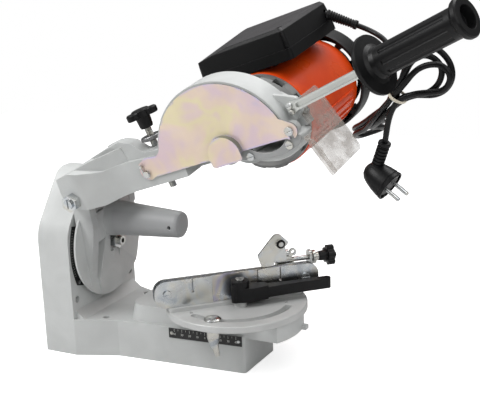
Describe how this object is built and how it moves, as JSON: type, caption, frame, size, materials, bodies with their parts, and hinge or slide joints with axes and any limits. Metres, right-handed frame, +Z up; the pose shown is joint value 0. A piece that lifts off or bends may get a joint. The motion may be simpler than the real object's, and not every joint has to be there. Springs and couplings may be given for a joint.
{
  "type": "saw chain sharpener",
  "caption": "Bench grinder for saw chains: tilting head with a sprung motor arm over a turntable rail vise.",
  "frame": {"origin": "on the bench surface, in the middle of the cast foot, midway between the column and the turntable", "axes": "+X from the column to the turntable, +Y to the motor side, +Z up"},
  "size_m": [0.5545, 0.3608, 0.4508],
  "materials": {
    "grey_paint": "light grey textured powder coat on castings",
    "scale_black": "satin black strip with white graduations",
    "motor_grey": "matt grey cast aluminium",
    "orange_paint": "glossy orange paint",
    "black_plastic": "fine-grained black moulded plastic",
    "lever_black": "semi-matt black moulded plastic",
    "grip_black": "black moulded grip",
    "clear_plastic": "clear sheet with rubbed marks",
    "zinc_yellow": "yellow passivated zinc with faint pink and lilac",
    "zinc": "bright zinc plate",
    "bare_aluminium": "satin extruded aluminium",
    "stator_steel": "varnished laminations",
    "ground_steel": "ground steel",
    "tie_cream": "cream twist tie",
    "cord_rubber": "black cord sheath"
  },
  "bodies": {
    "base": {"base_casting": "grey_paint", "tilt_scale": "scale_black", "table_scale": "scale_black", "scale_screws": "zinc", "tilt_bolt": "zinc", "tilt_nut": "zinc", "table_clamp_bolt": "zinc"},
    "table": {"turntable": "grey_paint", "table_pivot_bolt": "zinc", "table_pivot_nut": "zinc", "rail_rear": "zinc", "lever_bolt": "zinc", "stop_bracket": "zinc"},
    "clamp_nut": {"table_clamp_nut": "zinc"},
    "jaw": {"rail_front": "zinc", "cheek_left": "zinc", "cheek_right": "zinc", "rail_screws": "zinc"},
    "lever": {"clamp_lever": "lever_black"},
    "feed": {"feed_screw": "zinc", "feed_knob": "black_plastic"},
    "chain_stop": {"stop_carriage": "zinc", "pawl_pin": "zinc"},
    "pawl": {"pawl": "zinc"},
    "head": {"head_casting": "grey_paint", "hinge_bolt": "zinc", "hinge_nut": "zinc", "return_spring": "ground_steel"},
    "arm": {"arm_casting": "grey_paint", "cover_pin": "zinc", "cover_clip": "zinc", "cover_screw": "zinc", "guard_bracket": "grey_paint", "guard_screws": "zinc", "handle_bar": "bare_aluminium", "hand_grip": "grip_black", "clear_shield": "clear_plastic", "end_shield": "motor_grey", "motor_housing": "orange_paint", "rear_cover": "black_plastic", "stator": "stator_steel", "bearings": "ground_steel", "switch_box": "black_plastic", "box_lid": "black_plastic", "lid_screws": "zinc", "cord_gland": "cord_rubber", "cord_lead": "cord_rubber", "cord_hank": "cord_rubber", "cord_tie": "tie_cream", "plug_lead": "cord_rubber", "plug": "cord_rubber"},
    "cover": {"guard_cover": "zinc_yellow"},
    "spindle": {"rotor_shaft": "ground_steel", "fan": "black_plastic", "flanges": "ground_steel", "spindle_nut": "zinc"},
    "rocker": {"rocker_switch": "black_plastic"},
    "depth_screw": {"stop_screw": "zinc"},
    "depth_knob": {"stop_knob": "black_plastic"},
    "depth_lock": {"lock_nut": "zinc"}
  },
  "joints": [
    {"name": "head_tilt", "type": "hinge", "parent": "base", "child": "head", "pos_m": [-0.1, 0, 0.135], "axis": [1, 0, 0], "range_deg": [-44, 26]},
    {"name": "arm_lower", "type": "hinge", "parent": "head", "child": "arm", "pos_m": [-0.093, -0.01252, 0.21402], "axis": [0, 0.9877, 0.1564], "range_deg": [0, 14.5], "stiffness_Nm_per_rad": 24, "springref_deg": -68.75},
    {"name": "cover_swing", "type": "hinge", "parent": "arm", "child": "cover", "pos_m": [-0.01055, -0.03317, 0.23574], "axis": [0, -0.9877, -0.1564], "range_deg": [0, 80]},
    {"name": "spindle_spin", "type": "hinge", "parent": "arm", "child": "spindle", "pos_m": [0.0976, 0.07723, 0.28664], "axis": [0, 0.9877, 0.1564], "continuous": true},
    {"name": "rocker_press", "type": "hinge", "parent": "arm", "child": "rocker", "pos_m": [0.00974, 0.12831, 0.35405], "axis": [0, 0.9877, 0.1564], "range_deg": [0, 14]},
    {"name": "stop_travel", "type": "slide", "parent": "arm", "child": "depth_screw", "axis": [-0.3256, -0.1479, 0.9339], "range_m": [0, 0.01125]},
    {"name": "stop_turn", "type": "hinge", "parent": "depth_screw", "child": "depth_knob", "pos_m": [-0.02206, -0.01852, 0.2999], "axis": [-0.3256, -0.1479, 0.9339], "range_deg": [0, 3240]},
    {"name": "lock_nut_turn", "type": "hinge", "parent": "depth_screw", "child": "depth_lock", "pos_m": [-0.01392, -0.01483, 0.27655], "axis": [-0.3256, -0.1479, 0.9339], "range_deg": [-180, 180]},
    {"name": "table_turn", "type": "hinge", "parent": "base", "child": "table", "pos_m": [0.085, 0, 0.07], "axis": [0, 0, 1], "range_deg": [-90, 18]},
    {"name": "clamp_nut_turn", "type": "hinge", "parent": "base", "child": "clamp_nut", "pos_m": [0.0883, -0.0664, 0.05], "axis": [0, 0, 1], "range_deg": [-180, 180]},
    {"name": "clamp_lever_turn", "type": "hinge", "parent": "table", "child": "lever", "pos_m": [0.09717, -0.01188, 0.095], "axis": [0, 0, 1], "range_deg": [-75, 0]},
    {"name": "jaw_slide", "type": "slide", "parent": "table", "child": "jaw", "axis": [0.6947, -0.7193, 0], "range_m": [0, 0.0009]},
    {"name": "feed_turn", "type": "hinge", "parent": "table", "child": "feed", "pos_m": [0.14929, 0.07738, 0.1155], "axis": [0.7193, 0.6947, 0], "range_deg": [-1800, 1800]},
    {"name": "feed_travel", "type": "slide", "parent": "table", "child": "chain_stop", "axis": [0.7193, 0.6947, 0], "range_m": [-0.005, 0.005]},
    {"name": "pawl_lift", "type": "hinge", "parent": "chain_stop", "child": "pawl", "pos_m": [0.12672, 0.04029, 0.1416], "axis": [-0.6947, 0.7193, 0], "range_deg": [0, 60]}
  ],
  "couplings": [
    {"joint": "stop_turn", "follows": "stop_travel", "rad_per_m": 5026.5},
    {"joint": "clamp_lever_turn", "follows": "jaw_slide", "rad_per_m": -1454.4},
    {"joint": "feed_turn", "follows": "feed_travel", "rad_per_m": -6283.1}
  ]
}
